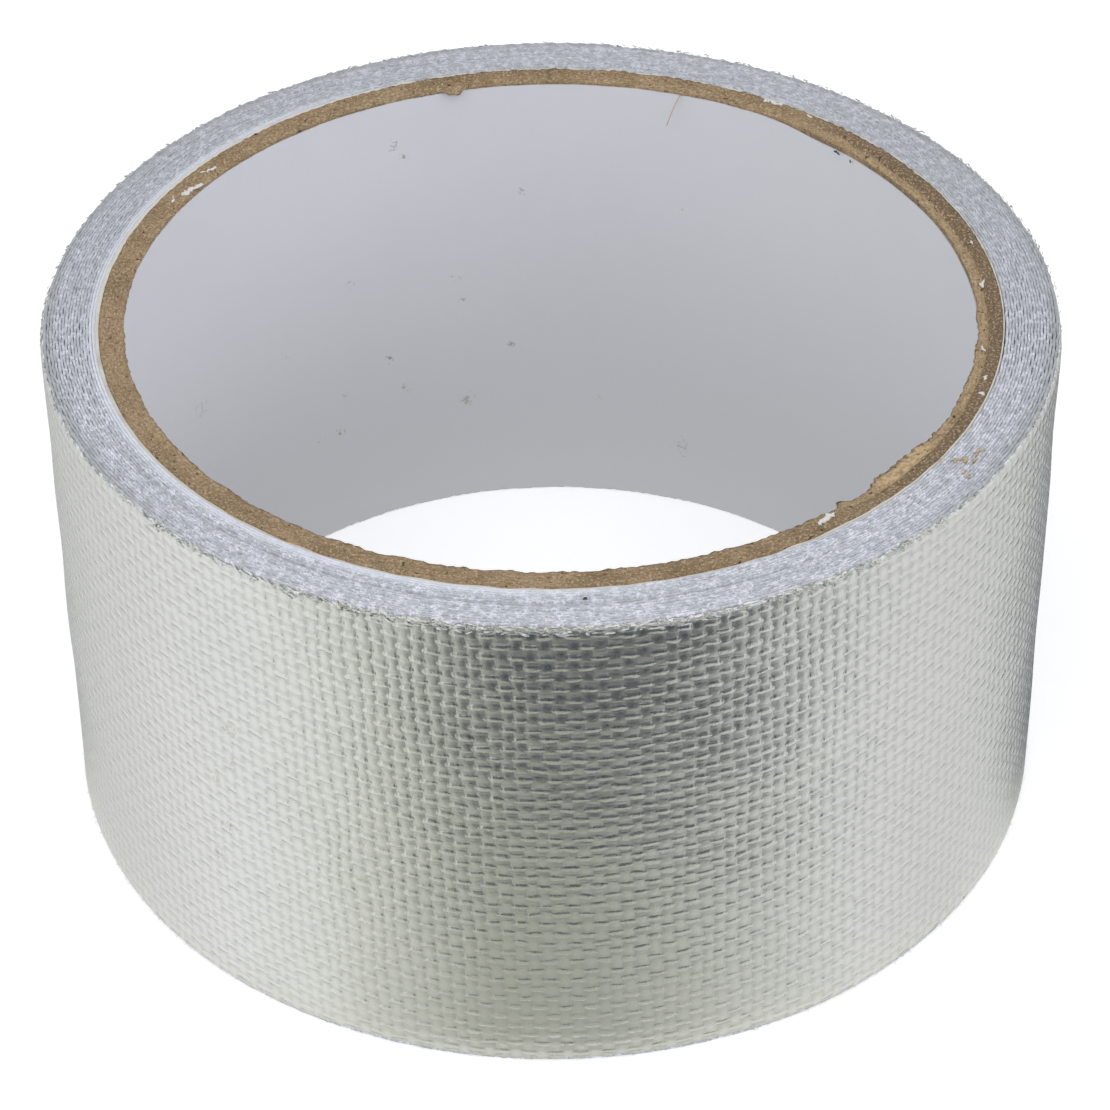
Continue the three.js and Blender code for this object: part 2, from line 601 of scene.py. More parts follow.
def weave_repeat():
    """One repeat of the foil-covered cloth, two yarns by two, flat and at real size."""
    size = (2 * COLUMN_PITCH, 2 * ROW_PITCH)
    piece = sheet(2 * YARN_STEPS, 2 * YARN_STEPS, (COLUMN_PITCH, ROW_PITCH, 0), size)
    across = places(piece)[:, 0] / COLUMN_PITCH
    up = places(piece)[:, 1] / ROW_PITCH
    on_column_line = np.abs(across - np.round(across)) < 0.1
    on_row_line = np.abs(up - np.round(up)) < 0.1
    edit(piece, on_column_line & on_row_line)
    bpy.ops.transform.translate(value=(0, 0, -0.03 * MM))
    close_edit()
    for column in (0, 1):
        for row in (0, 1):
            in_cell = (np.floor(across) == column) & (np.floor(up) == row)
            middle = ((column + 0.5) * COLUMN_PITCH, (row + 0.5) * ROW_PITCH, 0.015 * MM)
            cross_yarn_over = column == row
            spread = (1.35, 1.9, 1) if cross_yarn_over else (2.1, 0.7, 1)
            edit(piece, in_cell & ~on_column_line & ~on_row_line)
            bpy.ops.transform.translate(value=(0, 0, middle[2]))
            bpy.ops.transform.resize(value=spread, center_override=middle)
            close_edit()
    return piece


def flat_wrap():
    """One turn's length of wrap as a thin closed slab, lying face up."""
    piece = weave_repeat()
    repeat(piece, (2 * COLUMN_PITCH, 0, 0), COLUMNS // 2)
    repeat(piece, (0, 2 * ROW_PITCH, 0), ROWS // 2)
    width = ROWS * ROW_PITCH
    for far, outwards in ((False, -1), (True, 1)):
        up = places(piece)[:, 1]
        edge = up > width - 0.05 * MM if far else up < 0.05 * MM
        edit(piece, edge)
        bpy.ops.mesh.extrude_region_move(
            TRANSFORM_OT_translate={"value": (0, outwards * EDGE_MARGIN * 0.8, -BAND_THICKNESS)})
        close_edit()
    edit(piece, places(piece)[:, 2] < -BAND_THICKNESS * 0.9)
    bpy.ops.mesh.bridge_edge_loops()
    close_edit()
    edit(piece)
    bpy.ops.mesh.fill_holes(sides=0)
    bpy.ops.mesh.normals_make_consistent(inside=False)
    close_edit()
    return piece


def lay_uv(piece, name, pairs):
    """Gives every corner of the mesh its vertex's pair of numbers as a UV map."""
    layer = piece.data.uv_layers.new(name=name)
    corners = np.empty(len(piece.data.loops), dtype=np.int64)
    piece.data.loops.foreach_get("vertex_index", corners)
    layer.data.foreach_set("uv", pairs[corners].ravel())


def wind_outer_turn(piece):
    """Winds the flat slab once round the roll, from its free end at the back inwards under that end."""
    flat = places(piece)
    along, up, out = flat.T
    lay_uv(piece, "yarns", np.stack([along / COLUMN_PITCH, up / ROW_PITCH], axis=1))
    middle = up - ROWS * ROW_PITCH / 2
    at = along + 0.11 * MM * drift(along, up, 3, 7 * MM, 16 * MM) - middle * math.tan(CROSS_YARN_LEAN)
    height = up + EDGE_MARGIN + 0.075 * MM * drift(along, up, 4, 17 * MM, 6 * MM)
    azimuth = TAIL_AZIMUTH + at / ROLL_RADIUS
    front_mm = (np.remainder(azimuth + math.pi, TAU) - math.pi) * ROLL_RADIUS / MM
    lay_uv(piece, "face_mm", np.stack([front_mm, height / MM], axis=1))
    dents = 0.05 * MM * drift(along, up, 5, 26 * MM, 18 * MM)
    near_edge = np.clip(1 - np.minimum(height, ROLL_HEIGHT - height) / (0.9 * MM), 0, 1)
    worn = 0.20 * MM * near_edge ** 2 * (1 + 0.8 * drift(along, up, 8, 1.4 * MM, 9 * MM))
    face = out > -BAND_THICKNESS * 0.9
    rim = ~face & (near_edge > 0.3)
    ragged = 0.14 * MM * drift(along, up, 6, 0.9 * MM, 5 * MM)
    ragged += 0.10 * MM * drift(along, up, 7, 6 * MM, 30 * MM)
    height = np.where(rim, height - np.abs(ragged) * np.sign(middle), height)
    radius = TAIL_RADIUS - TURN_PITCH * along / (TAU * ROLL_RADIUS)
    radius = radius + out + bulge(azimuth) + np.where(face, dents - worn, 0)
    put(piece, on_cylinder(azimuth, radius, np.clip(height, 0.02 * MM, None)))


def make_outer_turn(foil, cloth_edge):
    piece = flat_wrap()
    wind_outer_turn(piece)
    return finish(piece, "outer_turn_foil", "foil_face", foil, cloth_edge, stands_for="wrap_roll")


# The turns under it

def band_section():
    """The wound band's section as (out, up) pairs: up its outer face, over the top edge and back."""
    top = ROLL_HEIGHT
    soft = 0.05 * MM
    return np.array([
        (BAND_THICKNESS, soft), (BAND_THICKNESS, top - soft), (0.72 * BAND_THICKNESS, top),
        (0.28 * BAND_THICKNESS, top), (0, top - soft), (0, soft),
        (0.28 * BAND_THICKNESS, 0), (0.72 * BAND_THICKNESS, 0), (BAND_THICKNESS, soft)])


def make_wound_turns(cloth_edge):
    """One long band wound inwards to the tube. Its edges follow the weave, and no two turns end level."""
    section = band_section()
    turns = TURNS - 1
    steps = turns * STEPS_PER_TURN
    piece = sheet(steps, len(section) - 1, (0, 0, 0), (1, 1))
    flat = places(piece)
    progress = flat[:, 0] + 0.5
    side = np.round((flat[:, 1] + 0.5) * (len(section) - 1)).astype(int)
    out, up = section[side].T
    turn = progress * turns
    radius = TAIL_RADIUS - TURN_PITCH * (1 + turn)
    azimuth = TAIL_AZIMUTH + TAU * turn
    length = TAU * turn * (TAIL_RADIUS - TURN_PITCH * (1 + turn / 2))
    facing = np.remainder(azimuth + math.pi, TAU) - math.pi
    from_tube = turns - turn
    smooth_liner = np.clip((3.2 - from_tube) / 1.5, 0, 1) * window(facing, -150, 5, 30)
    wave = np.sin(math.pi * length / COLUMN_PITCH)
    crest = np.isin(side, (1, 2, 3, 4))
    foot = np.isin(side, (0, 5, 6, 7, 8))
    liveliness = 1 - 0.85 * smooth_liner
    uneven = 0.055 * drift(length, turn, 11, 1.2 * MM, 1.7) + 0.04 * drift(length, turn, 12, 14 * MM, 2.0)
    uneven = (uneven + 0.04 * drift(turn, turn, 13, 1.9, 2.6)) * MM
    rise = uneven * liveliness + 0.03 * MM * np.abs(wave) * liveliness + 0.04 * MM * smooth_liner
    from_sunk_turn = from_tube - SUNK_TURN - 0.9 * np.radians(np.degrees(facing) + 20)
    sunk_share = np.exp(-(from_sunk_turn / 0.75) ** 2) * window(facing, -64, 26, 22)
    sunk = 0.16 * MM * sunk_share
    sway = (0.012 * MM * wave + 0.03 * MM * drift(length, turn, 14, 2.2 * MM, 0.8)) * liveliness
    radius = radius - BAND_THICKNESS + out + bulge(azimuth) * from_tube / turns + np.where(crest, sway, 0)
    height = up + np.where(crest, rise - sunk, 0) + np.where(foot, np.abs(rise), 0)
    lay_uv(piece, "edge_mm", np.stack([length, out + turn * TURN_PITCH], axis=1) / MM)
    # These maps carry painted shade on the inner side of each turn and on the sunk turn, and the smooth
    # liner's lighter colour.
    inner_side = np.isin(side, (4, 5)).astype(float)
    lay_uv(piece, "inner_and_even", np.stack([inner_side, smooth_liner - sunk_share], axis=1))
    put(piece, on_cylinder(azimuth, radius, height))
    edit(piece)
    bpy.ops.mesh.remove_doubles(threshold=0.005 * MM)
    bpy.ops.mesh.fill_holes(sides=0)
    close_edit()
    return finish(piece, "wound_turns", "cloth_edge", cloth_edge)


# The tube

def turned_section(low, high, steps, top_cuts, wall_cuts=0):
    """A rectangle from (radius, height) low to high, spun once round the axis into a closed ring."""
    middle = ((low[0] + high[0]) / 2, 0, (low[1] + high[1]) / 2)
    piece = sheet(1, 1, middle, (high[0] - low[0], high[1] - low[1]), upright=True)
    edit(piece)
    bpy.ops.mesh.delete(type="ONLY_FACE")
    close_edit()
    for column, level, cuts in ((2, high[1], top_cuts), (2, low[1], top_cuts), (0, low[0], wall_cuts)):
        if cuts:
            edit(piece, np.abs(places(piece)[:, column] - level) < 1e-7)
            bpy.ops.mesh.subdivide(number_cuts=cuts)
            close_edit()
    edit(piece)
    bpy.ops.mesh.spin(steps=steps, angle=TAU, axis=(0, 0, 1), center=(0, 0, 0))
    bpy.ops.mesh.select_all(action="SELECT")
    bpy.ops.mesh.remove_doubles(threshold=0.002 * MM)
    bpy.ops.mesh.normals_make_consistent(inside=False)
    close_edit()
    return piece


def make_tube(kraft):
    """The kraft plies. The inner ply has come loose on the right, and the bore edge is ragged all round."""
    piece = turned_section((TUBE_INNER + LINING, 0), (TUBE_OUTER, ROLL_HEIGHT), TUBE_STEPS, 10, wall_cuts=2)
    azimuth, radius, height = cylinder_terms(places(piece))
    along = azimuth * TUBE_INNER
    top = height > ROLL_HEIGHT * 0.9
    on_wall = (height > ROLL_HEIGHT * 0.1) & ~top
    wall_ring = np.where(height > ROLL_HEIGHT / 2, ROLL_HEIGHT - RIM_DEPTH, RIM_DEPTH)
    height = np.where(on_wall, wall_ring, height)
    depth = (radius - TUBE_INNER - LINING) / (TUBE_WALL - LINING)
    ply_line = INNER_PLY / TUBE_WALL
    at_bore = np.where(on_wall, 0, np.clip(1 - depth / 0.3, 0, 1))
    loose = window(azimuth, 40, 138, 24)
    ragged = 0.045 * drift(along, height, 21, 1.1 * MM, 90 * MM)
    ragged = ragged + 0.05 * drift(along, height, 22, 5 * MM, 90 * MM)
    ragged = ragged * MM * (1 + 0.5 * window(azimuth, 36, 165, 20))
    fibres = drift(along, radius, 23, 0.9 * MM, 0.5 * MM) + drift(along, radius, 24, 4 * MM, 0.9 * MM)
    fibres = fibres * 0.05 * MM
    groove = np.exp(-((depth - ply_line) / 0.06) ** 2) * (0.06 + 0.34 * loose) * MM
    sagged = np.clip((ply_line - depth) / 0.12, 0, 1) * (0.10 + 0.22 * loose) * MM
    flap = window(azimuth, 46, 56.5, 3.5) * (0.8 + 0.3 * drift(along, height, 25, 2 * MM, 90 * MM))
    spike = window(azimuth, 39.2, 40.8, 1.4)
    tab = window(azimuth, -167.2, -164.6, 1.6)
    torn = at_bore * (1.15 * flap + 0.95 * spike + 0.75 * tab) * MM
    covers_lining = at_bore * (LINING + 0.05 * MM)
    radius = radius + np.where(top, at_bore * ragged - torn - covers_lining, 0)
    drop = groove + sagged + 0.35 * torn + 0.10 * MM * at_bore
    underside = np.where(on_wall, 0, np.abs(fibres) * 0.5 + at_bore * 0.1 * MM)
    height = height + np.where(top, fibres - drop, underside)
    lay_uv(piece, "ring_mm", np.stack([along / MM, depth * TUBE_WALL / MM], axis=1))
    lay_uv(piece, "loose_and_torn", np.stack([loose, np.clip(flap, 0, 1) * (depth < 0.36)], axis=1))
    put(piece, on_cylinder(azimuth, radius, height))
    return finish(piece, "kraft_tube", "kraft_board", kraft, stands_for="cardboard_core")


def make_lining(paper):
    """The white ply of the tube, on its bore side."""
    inner = TUBE_INNER
    top = ROLL_HEIGHT - 0.9 * RIM_DEPTH
    piece = turned_section((inner, 0.02 * MM), (inner + LINING * 0.9, top), PAPER_STEPS, 1, wall_cuts=15)
    azimuth, radius, height = cylinder_terms(places(piece))
    along = azimuth * inner
    away = np.remainder(azimuth, TAU) - math.pi
    lay_uv(piece, "wall_mm", np.stack([-away * inner, height], axis=1) / MM)
    creases = 0.03 * MM * drift(along, height, 31, 12 * MM, 22 * MM)
    foot = np.where(height < 0.1 * MM, 0.12 * MM * np.abs(drift(along, height, 32, 2.2 * MM, 90 * MM)), 0)
    under_flap = np.where(height > top - 0.1 * MM, 0.55 * MM * window(azimuth, 36, 142, 12), 0)
    put(piece, on_cylinder(azimuth, radius + creases, height + foot - under_flap))
    return finish(piece, "bore_lining", "lining_paper", paper, smooth_angle=40)


def make_starting_liner(paper):
    """The release liner's edge where the wrap starts on the tube: a thin cream line, wider on the left."""
    inner = TUBE_OUTER + 0.02 * MM
    outer = inner + 0.13 * MM
    piece = turned_section((inner, 0.1 * MM), (outer, ROLL_HEIGHT - 0.02 * MM), PAPER_STEPS, 2)
    azimuth, radius, height = cylinder_terms(places(piece))
    along = azimuth * outer
    top = height > ROLL_HEIGHT / 2
    filled = 0.24 * MM * window(azimuth, -160, -50, 40) * (radius > inner + 0.06 * MM)
    sunk = 0.12 * MM * window(azimuth, -84, 30, 20)
    height = height + np.where(top, 0.05 * MM * drift(along, radius, 41, 3 * MM, 2 * MM) - sunk, 0)
    put(piece, on_cylinder(azimuth, radius + filled, height))
    return finish(piece, "starting_liner", "lining_paper", paper)


# Loose bits

LUMP_PITCH = 0.3                 # mm of length to one lump
UPPER_FILAMENTS = 420
LOWER_FILAMENTS = 160
UPPER_FLAKES = 1100
LOWER_FLAKES = 50
FRONT_SPREAD = math.radians(38)  # how widely half of the upper flakes gather about the front
LARGE_WITHIN = math.radians(48)  # the upper flakes nearer the front than this may be large


def lump(size, where, turn, seed):
    """A small uneven crumb: a round form pushed about, flattened to its size, and laid in place."""
    rng = random.Random(seed)
    bpy.ops.object.select_all(action="DESELECT")
    bpy.ops.mesh.primitive_ico_sphere_add(subdivisions=2, radius=0.5)
    piece = bpy.context.object
    shape = places(piece)
    first = [rng.uniform(3, 7) for _ in range(3)]
    second = [rng.uniform(8, 15) for _ in range(3)]
    push = 1 + 0.28 * np.sin(shape @ first + rng.uniform(0, TAU))
    push = push + 0.22 * np.sin(shape @ second + rng.uniform(0, TAU))
    shape = shape * push[:, None] * np.array(size)
    turned = Matrix.Rotation(turn, 3, "Z")
    put(piece, shape @ np.array(turned).T + np.array(where))
    return piece


def bits(name, slot, material, listed, seed):
    """Broken lumps as one piece. Azimuths are listed in degrees, the other measures in mm."""
    rng = random.Random(seed)
    made = []
    for azimuth, radius, height, length, width, thickness in listed:
        parts = max(1, round(length / LUMP_PITCH))
        lean = rng.uniform(-0.4, 0.4)
        for part in range(parts):
            along = ((part + 0.5) / parts - 0.5) * length
            out = radius + along * math.sin(lean) + rng.uniform(-0.2, 0.2) * width
            angle = math.radians(azimuth) + along * math.cos(lean) / radius
            size = (rng.uniform(0.25, 0.6) * MM, rng.uniform(0.4, 0.9) * width * MM, thickness * MM)
            where = on_cylinder(angle, out * MM, height * MM)
            made.append(lump(size, where, angle + rng.uniform(-0.9, 0.9), rng.randrange(9999)))
    return finish(joined(made), name, slot, material)


def strands(name, slot, material, routes, thickness):
    """Fine fibres as one piece; each route is a list of places."""
    curve = bpy.data.curves.new(name, "CURVE")
    curve.dimensions = "3D"
    curve.bevel_depth = thickness / 2
    curve.bevel_resolution = 0
    curve.use_fill_caps = True
    for route in routes:
        spline = curve.splines.new("POLY")
        spline.points.add(len(route) - 1)
        for point, place in zip(spline.points, route):
            point.co = (*place, 1)
    piece = bpy.data.objects.new(name, curve)
    bpy.context.scene.collection.objects.link(piece)
    choose(piece)
    bpy.ops.object.convert(target="MESH")
    return finish(bpy.context.object, name, slot, material)


def fibre_route(rng, azimuth, radius, height, length, lean_out, curl):
    """A short curling fibre that starts on an end face."""
    place = Vector(on_cylinder(azimuth, radius, height))
    outwards = Vector((math.sin(azimuth), -math.cos(azimuth), 0))
    sideways = Vector((math.cos(azimuth), math.sin(azimuth), 0))
    heading = outwards * lean_out + sideways * rng.uniform(-1, 1) + Vector((0, 0, rng.uniform(0.1, 0.7)))
    heading = heading.normalized()
    bend = sideways * rng.uniform(-curl, curl) + outwards * rng.uniform(-curl, curl)
    bend = bend - Vector((0, 0, curl * 0.6))
    route = [place]
    for _ in range(5):
        place = place + heading * (length / 5)
        route.append(place)
        heading = (heading + bend * 0.4).normalized()
    return route


def make_glass_fuzz(cloth_edge):
    """Broken glass filaments that stand off the cut edges, most of them along the outer one."""
    rng = random.Random(71)
    routes = []
    for _ in range(UPPER_FILAMENTS):
        azimuth = rng.uniform(-math.pi, math.pi)
        radius = ROLL_RADIUS - 0.2 * MM - rng.random() ** 1.5 * (TURNS - 1) * TURN_PITCH
        length = rng.uniform(0.4, 1.1) * MM
        lean_out = rng.uniform(-0.6, 0.4)
        routes.append(fibre_route(rng, azimuth, radius, ROLL_HEIGHT - 0.05 * MM, length, lean_out, 0.9))
    for _ in range(LOWER_FILAMENTS):
        azimuth = rng.uniform(-math.pi, math.pi)
        length = rng.uniform(0.3, 0.6) * MM
        routes.append(fibre_route(rng, azimuth, ROLL_RADIUS - 0.1 * MM, 0.3 * MM, length, 0.5, 0.6))
    return strands("glass_fuzz", "cloth_edge", cloth_edge, routes, 0.035 * MM)


def foil_flake():
    """One torn flake of foil, curled along its length."""
    piece = sheet(5, 2, (0, 0, 0), (1, 1))
    shape = places(piece)
    along, across, _ = shape.T
    curl = 0.6 * across ** 2 + 0.7 * np.sin(along * 4.0 + 0.6)
    narrowed = across * (1 - 0.8 * np.abs(along))
    put(piece, np.stack([along, narrowed, curl], axis=1))
    return piece


def make_frayed_foil(torn_foil):
    """The torn foil along the outer turn's edges: small curled flakes, the largest of them at the front."""
    rng = random.Random(83)
    pattern = foil_flake()
    made = []
    for number in range(UPPER_FLAKES + LOWER_FLAKES):
        upper = number < UPPER_FLAKES
        gathered = upper and number % 2
        azimuth = rng.gauss(0, FRONT_SPREAD) if gathered else rng.uniform(-math.pi, math.pi)
        large = upper and abs(azimuth) < LARGE_WITHIN
        length = rng.uniform(0.3, 1.2 if large else 0.6) * MM
        width = rng.uniform(0.07, 0.30 if large else 0.16) * MM
        depth = rng.triangular(0.05, 1.0 if large else 0.4, 0.15) * MM
        height = ROLL_HEIGHT - depth if upper else rng.uniform(0.45, 0.8) * MM
        centre = Vector(on_cylinder(azimuth, ROLL_RADIUS - rng.uniform(-0.06, 0.16) * MM, height))
        sideways = Vector((math.cos(azimuth), math.sin(azimuth), 0))
        outwards = Vector((math.sin(azimuth), -math.cos(azimuth), 0))
        rolled = Matrix.Rotation(rng.gauss(0, 0.35), 3, outwards)
        tilt = rolled @ Matrix.Rotation(rng.uniform(-1, 1), 3, sideways)
        frame_axes = Matrix((sideways * length, Vector((0, 0, width)), outwards * width * 0.7)).transposed()
        flake = pattern.copy()
        flake.data = pattern.data.copy()
        bpy.context.scene.collection.objects.link(flake)
        flake.data.transform((tilt @ frame_axes).to_4x4())
        flake.data.transform(Matrix.Translation(centre))
        made.append(flake)
    bpy.data.objects.remove(pattern)
    piece = joined(made)
    azimuth, radius, height = cylinder_terms(places(piece))
    pressed = np.minimum(height, ROLL_HEIGHT + 0.05 * MM)
    put(piece, on_cylinder(azimuth, np.minimum(radius, ROLL_RADIUS + 0.16 * MM), pressed))
    thick = piece.modifiers.new("foil", "SOLIDIFY")
    thick.thickness = 0.02 * MM
    bpy.ops.object.modifier_apply(modifier=thick.name)
    return finish(piece, "frayed_foil", "foil_face", torn_foil, smooth_angle=50)


# Bits as (azimuth, radius, height, length, width, thickness)
TOP = ROLL_HEIGHT / MM
WHITE_CHIPS = (
    (35.8, 39.2, TOP - 0.05, 2.0, 0.75, 0.35), (94.3, 39.3, TOP - 0.15, 1.1, 0.35, 0.25),
    (103.4, 39.9, TOP, 0.7, 0.3, 0.2), (69.2, 40.1, TOP, 0.3, 0.9, 0.25), (72.8, 39.9, TOP, 0.5, 0.3, 0.2),
    (79.5, 39.0, TOP - 0.25, 0.7, 0.3, 0.2), (141.4, 40.2, TOP, 0.6, 0.4, 0.2),
    (147.4, 40.3, TOP, 1.9, 0.6, 0.25), (-120.3, 39.0, TOP - 0.05, 2.6, 0.8, 0.25),
    (-125.5, 39.5, TOP, 1.6, 0.4, 0.2), (-117.0, 39.6, TOP, 1.0, 0.3, 0.2),
    (-159.0, 40.7, TOP + 0.05, 0.5, 0.4, 0.2),
)
BOARD_CRUMBS = (
    (55.3, 42.1, TOP + 0.12, 0.8, 0.40, 0.22), (55.8, 42.7, TOP + 0.12, 0.9, 0.45, 0.22),
    (56.4, 43.3, TOP + 0.1, 0.6, 0.3, 0.2), (57.8, 43.0, TOP + 0.12, 0.8, 0.5, 0.22),
    (58.6, 43.3, TOP + 0.1, 0.5, 0.25, 0.15), (53.9, 43.4, TOP + 0.1, 0.7, 0.3, 0.2),
    (53.5, 44.0, TOP + 0.1, 0.6, 0.3, 0.2), (54.2, 40.9, TOP + 0.05, 0.6, 0.4, 0.25),
    (67.0, 44.5, TOP, 0.4, 0.3, 0.2),
)
DARK_SPECKS = (
    (3.5, 42.2, TOP + 0.05, 0.22, 0.4, 0.2), (63.5, 38.95, TOP - 0.1, 0.35, 0.3, 0.2),
    (134.0, 38.2, TOP - 1.0, 0.7, 0.3, 0.2), (131.5, 38.3, TOP - 1.3, 0.35, 0.2, 0.15),
)


def make_board_hair(board):
    """The hair of torn board that hangs into the bore at the back."""
    hanging = []
    for step in range(5):
        radius = (38.6 - 0.35 * step) * MM
        height = (TOP + 0.1 - 0.5 * step ** 1.4) * MM
        hanging.append(on_cylinder(math.radians(160 + 0.5 * step), radius, height))
    return strands("board_hairs", "kraft_board", board, [hanging], 0.12 * MM)


def make_curled_fibre(cloth_edge):
    """One filament lying in a loop on the wrap's end, on the left."""
    loop = []
    for step in range(7):
        azimuth = math.radians(-94.7 + 0.55 * math.sin(step * 0.8))
        radius = (42.8 + 0.45 * math.cos(step * 0.8)) * MM
        loop.append(on_cylinder(azimuth, radius, (TOP + 0.2 + 0.05 * step) * MM))
    return strands("curled_fibre", "cloth_edge", cloth_edge, [loop], 0.1 * MM)


# The set

CAMERA_DISTANCE = 372.6 * MM
CAMERA_ELEVATION = math.radians(37.88)
CAMERA_PITCH = math.radians(38.33)
CAMERA_ROLL = math.radians(-0.543)
CAMERA_YAW = math.radians(0.034)
FOCAL_LENGTH = 128.5             # mm, on a sensor 36 mm wide
FLOOR_SIZE = 3.0
FLOOR_GLOW = 0.3
AMBIENT = 0.52


def make_camera():
    lens = bpy.data.cameras.new("photo_view")
    lens.lens = FOCAL_LENGTH
    lens.sensor_width = 36
    lens.clip_start = 0.01
    camera = bpy.data.objects.new("photo_view", lens)
    camera.location = (0, -CAMERA_DISTANCE * math.cos(CAMERA_ELEVATION),
                       ROLL_HEIGHT / 2 + CAMERA_DISTANCE * math.sin(CAMERA_ELEVATION))
    turned = (Matrix.Rotation(-CAMERA_YAW, 3, "Z") @ Matrix.Rotation(math.pi / 2 - CAMERA_PITCH, 3, "X")
              @ Matrix.Rotation(CAMERA_ROLL, 3, "Z"))
    camera.rotation_euler = turned.to_euler()
    bpy.context.scene.collection.objects.link(camera)
    bpy.context.scene.camera = camera


def make_floor():
    bpy.ops.object.select_all(action="DESELECT")
    bpy.ops.mesh.primitive_plane_add(size=FLOOR_SIZE)
    floor = bpy.context.object
    floor.name = "pale_floor"
    material, _, shader, _ = start_material("pale_floor")
    shader.inputs["Base Color"].default_value = (0.93, 0.93, 0.93, 1)
    shader.inputs["Roughness"].default_value = 0.9
    shader.inputs["Emission Color"].default_value = (1, 1, 1, 1)
    shader.inputs["Emission Strength"].default_value = FLOOR_GLOW
    floor.data.materials.append(material)


# What foil facing each way reflects, as (degrees from the front, brightness and tint)
TENT_TONES = (
    (-90, (0.18, 0.21, 0.23)), (-80, (0.42, 0.43, 0.43)), (-72, (0.67, 0.67, 0.66)),
    (-58, (0.74, 0.74, 0.73)), (-40, (0.88, 0.88, 0.87)), (-28, (0.83, 0.84, 0.80)),
    (-17, (0.60, 0.61, 0.54)), (-7, (0.42, 0.43, 0.36)), (5, (0.42, 0.43, 0.37)),
    (15, (0.52, 0.53, 0.48)), (26, (0.66, 0.67, 0.63)), (36, (0.80, 0.80, 0.78)),
    (50, (0.71, 0.71, 0.70)), (59, (0.75, 0.75, 0.74)), (66, (0.64, 0.65, 0.64)),
    (73, (0.15, 0.17, 0.18)), (90, (0.06, 0.07, 0.09)),
)
TENT_RADIUS = 0.45
TENT_TOP = (1.0, 1.01, 1.04)
TENT_TOP_FADE = (0.10, 0.34)      # the heights between which the tones give way to the top's
TENT_FOOT = (0.80, 0.80, 0.74)    # what the foil's lowest edge mirrors
TENT_FOOT_FADE = (0.0008, 0.003)
TENT_DARK_PATCH = (0.04, 0.05, 0.065)
PATCH_AZIMUTH = math.radians(6)
PATCH_HALF_WIDTH = (math.radians(10), math.radians(27))
PATCH_START = (0.026, 0.050)      # how far beyond the roll's face the patch deepens
PATCH_FADE = (0.085, 0.15)        # and how far beyond it the patch pales a little
MIRROR_REACH = 0.037              # how far beyond the face a mirrored azimuth is half as much again


def tent_finish():
    """Light that a glossy surface sees. Each tone lies where the roll's face mirrors it."""
    material = bpy.data.materials.new("light_tent")
    material.use_nodes = True
    material.cycles.emission_sampling = "NONE"
    tree = material.node_tree
    tree.nodes.remove(tree.nodes["Principled BSDF"])
    glow = tree.nodes.new("ShaderNodeEmission")
    tree.links.new(glow.outputs[0], tree.nodes["Material Output"].inputs["Surface"])
    where = tree.nodes.new("ShaderNodeTexCoord").outputs["Object"]
    _, _, height = parts_of(tree, where)
    azimuth, from_axis = round_axis(tree, where)
    beyond = larger(tree, minus(tree, from_axis, ROLL_RADIUS), 0.0)
    spread = plus(tree, maths(tree, "DIVIDE", beyond, plus(tree, beyond, MIRROR_REACH)), 1.0)
    mirrored_by = maths(tree, "DIVIDE", azimuth, spread)
    place = plus(tree, maths(tree, "DIVIDE", mirrored_by, math.pi), 0.5)
    tones = ramp(tree, place, [((degrees + 90) / 180, tone) for degrees, tone in TENT_TONES])
    off_centre = maths(tree, "ABSOLUTE", minus(tree, mirrored_by, PATCH_AZIMUTH))
    in_front = between(tree, off_centre, *PATCH_HALF_WIDTH, 1.0, 0.0)
    in_reach = times(tree, between(tree, beyond, *PATCH_START), between(tree, beyond, *PATCH_FADE, 1.0, 0.8))
    darker = mixed(tree, times(tree, in_front, in_reach), tones, TENT_DARK_PATCH)
    lower = mixed(tree, between(tree, beyond, *TENT_FOOT_FADE, 0.7, 0.0), darker, TENT_FOOT)
    whole = mixed(tree, between(tree, height, *TENT_TOP_FADE), lower, TENT_TOP)
    tree.links.new(whole, glow.inputs["Color"])
    return material


def make_light_tent():
    """A dome and its base that only reflections see, as a product photographer's light tent."""
    bpy.ops.object.select_all(action="DESELECT")
    bpy.ops.mesh.primitive_uv_sphere_add(segments=64, ring_count=32, radius=TENT_RADIUS)
    tent = bpy.context.object
    tent.name = "light_tent"
    edit(tent, places(tent)[:, 2] < -0.001)
    bpy.ops.mesh.delete(type="VERT")
    close_edit()
    edit(tent, places(tent)[:, 2] < 0.001)
    bpy.ops.mesh.edge_face_add()
    close_edit()
    put(tent, places(tent) + np.array([0, 0, 0.02 * MM]))
    tent.data.materials.append(tent_finish())
    tent.visible_camera = False
    tent.visible_diffuse = False
    tent.visible_transmission = False
    tent.visible_volume_scatter = False
    tent.visible_shadow = False


def soft_light(name, where, size, power, colour):
    light = bpy.data.lights.new(name, "AREA")
    light.shape = "RECTANGLE"
    light.size, light.size_y = size
    light.energy = power
    light.color = colour
    lamp = bpy.data.objects.new(name, light)
    lamp.location = where
    lamp.rotation_euler = (Vector((0, 0, ROLL_HEIGHT)) - Vector(where)).to_track_quat("-Z", "Y").to_euler()
    lamp.visible_glossy = False
    bpy.context.scene.collection.objects.link(lamp)


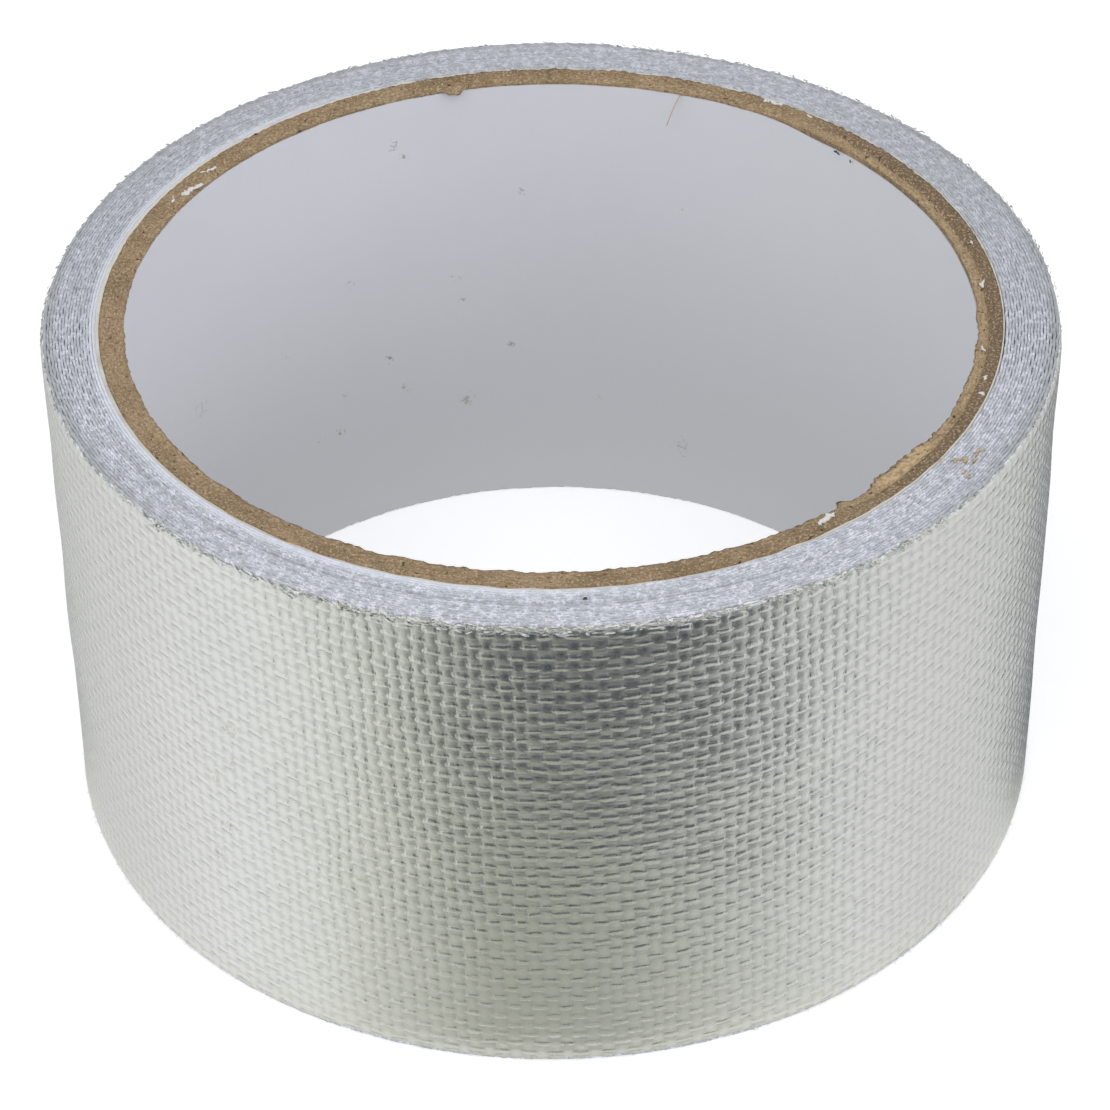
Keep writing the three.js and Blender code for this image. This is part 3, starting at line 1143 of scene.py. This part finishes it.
def make_lights():
    soft_light("overhead_box", (0.0, -0.22, 0.52), (0.8, 0.6), 1.9, (0.97, 0.98, 1.0))
    soft_light("left_box", (-0.75, -0.2, 0.35), (0.6, 0.6), 1.5, (1.0, 1.0, 0.99))
    soft_light("right_box", (0.75, -0.2, 0.35), (0.6, 0.6), 1.2, (1.0, 1.0, 0.99))
    world = bpy.data.worlds.new("studio")
    world.use_nodes = True
    background = world.node_tree.nodes["Background"]
    background.inputs["Color"].default_value = (0.96, 0.97, 1.0, 1)
    background.inputs["Strength"].default_value = AMBIENT
    bpy.context.scene.world = world


def set_view():
    """Plain colours, and few bounces, because nothing in the set is clear."""
    scene = bpy.context.scene
    scene.view_settings.view_transform = "Standard"
    scene.cycles.max_bounces = 5
    scene.cycles.diffuse_bounces = 3
    scene.cycles.glossy_bounces = 3


def build():
    make_camera()
    foil = foil_finish()
    cloth_edge = cloth_edge_finish()
    kraft = kraft_finish()
    paper = lining_finish()
    white_board = plain_fleck_finish("torn_white_paper", (0.58, 0.57, 0.53), (0.80, 0.79, 0.76))
    liner_edge = plain_fleck_finish("liner_paper_edge", (0.56, 0.54, 0.49), (0.70, 0.68, 0.62))
    tan_board = plain_fleck_finish("torn_kraft_fibre", (0.38, 0.28, 0.17), (0.60, 0.47, 0.30))
    dark_dirt = plain_fleck_finish("dark_dirt", (0.03, 0.03, 0.035), (0.09, 0.08, 0.075))
    # The torn foil's near-white colour stands in for glints: painted highlights.
    torn_foil = plain_fleck_finish(
        "torn_foil", (0.30, 0.30, 0.27), (1.0, 1.0, 0.96), metallic=0.55, roughness=0.3)
    make_outer_turn(foil, cloth_edge)
    make_wound_turns(cloth_edge)
    make_tube(kraft)
    make_lining(paper)
    make_starting_liner(liner_edge)
    make_glass_fuzz(cloth_edge)
    make_frayed_foil(torn_foil)
    bits("paper_chips", "lining_paper", white_board, WHITE_CHIPS, 51)
    bits("board_crumbs", "kraft_board", tan_board, BOARD_CRUMBS, 52)
    bits("dark_specks", "kraft_board", dark_dirt, DARK_SPECKS, 53)
    make_board_hair(tan_board)
    make_curled_fibre(cloth_edge)
    make_floor()
    make_light_tent()
    make_lights()
    set_view()


build()
